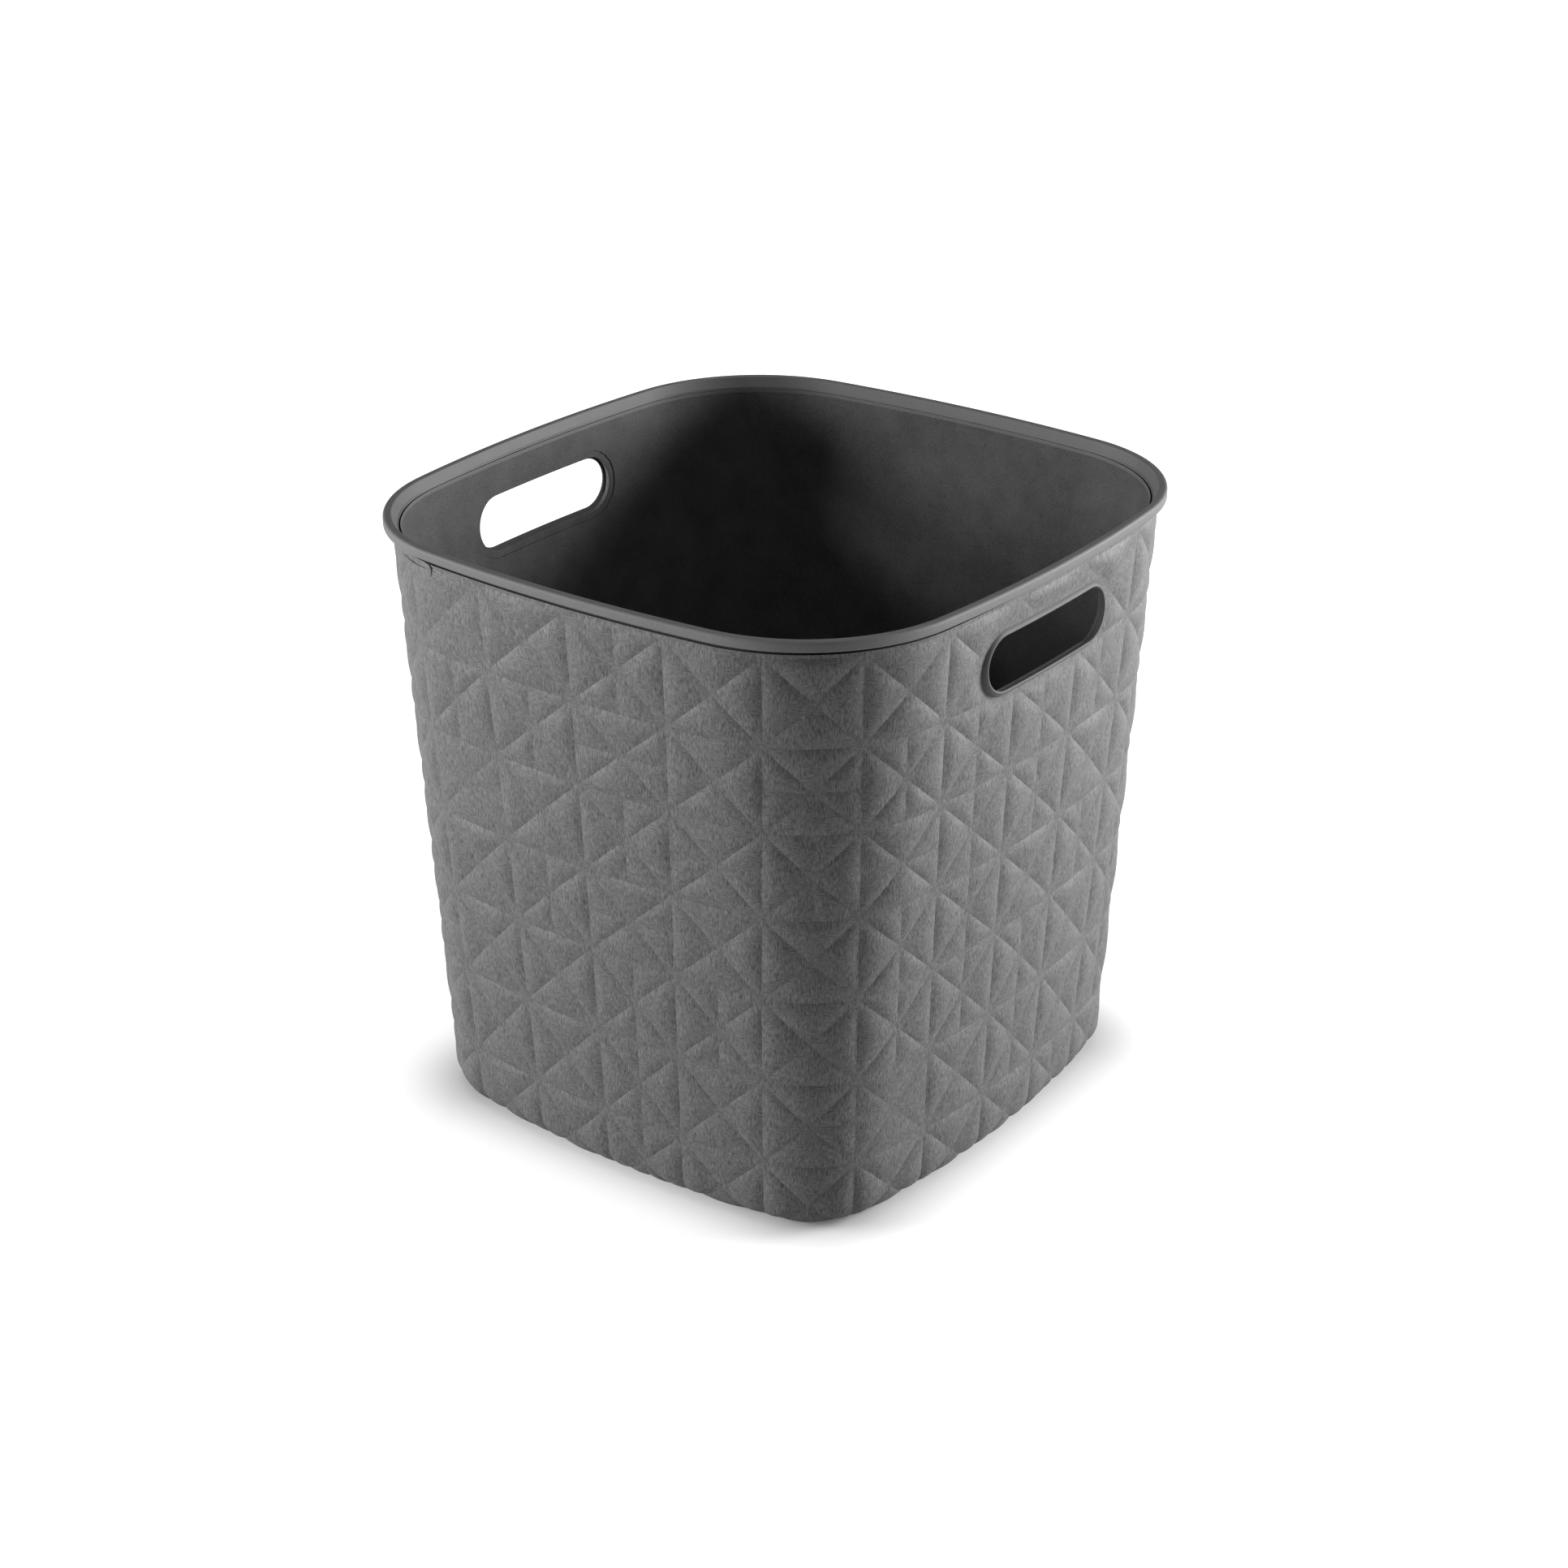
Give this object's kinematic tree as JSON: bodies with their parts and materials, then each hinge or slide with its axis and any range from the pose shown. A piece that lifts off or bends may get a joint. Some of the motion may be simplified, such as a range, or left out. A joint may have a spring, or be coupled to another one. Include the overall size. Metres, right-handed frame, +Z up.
{
  "type": "storage bin",
  "caption": "Open square storage bin with bowed, tapering quilted walls, a rolled rim and a framed hand slot in each of two opposite walls.",
  "frame": {"origin": "middle of the base, on the surface that the bin stands on", "axes": "+Z up out of the mouth; the walls with the hand slots face +X and -X, the plain walls +Y and -Y"},
  "size_m": [0.2788, 0.2854, 0.27],
  "materials": {
    "quilted_shell": "matt grey moulded plastic with a fine linen weave grain over quilted facets",
    "smooth_tub": "matt dark grey moulded plastic, faintly mottled",
    "rim": "satin grey moulded plastic, fine grain",
    "handle_frame": "smooth satin grey moulded plastic"
  },
  "bodies": {
    "root": {"quilted_shell": "quilted_shell", "inner_tub": "smooth_tub", "rim_band": "rim", "right_handle_frame": "handle_frame", "left_handle_frame": "handle_frame", "right_handle_trim": "smooth_tub", "left_handle_trim": "smooth_tub", "blank_plaque": "quilted_shell"}
  },
  "joints": []
}
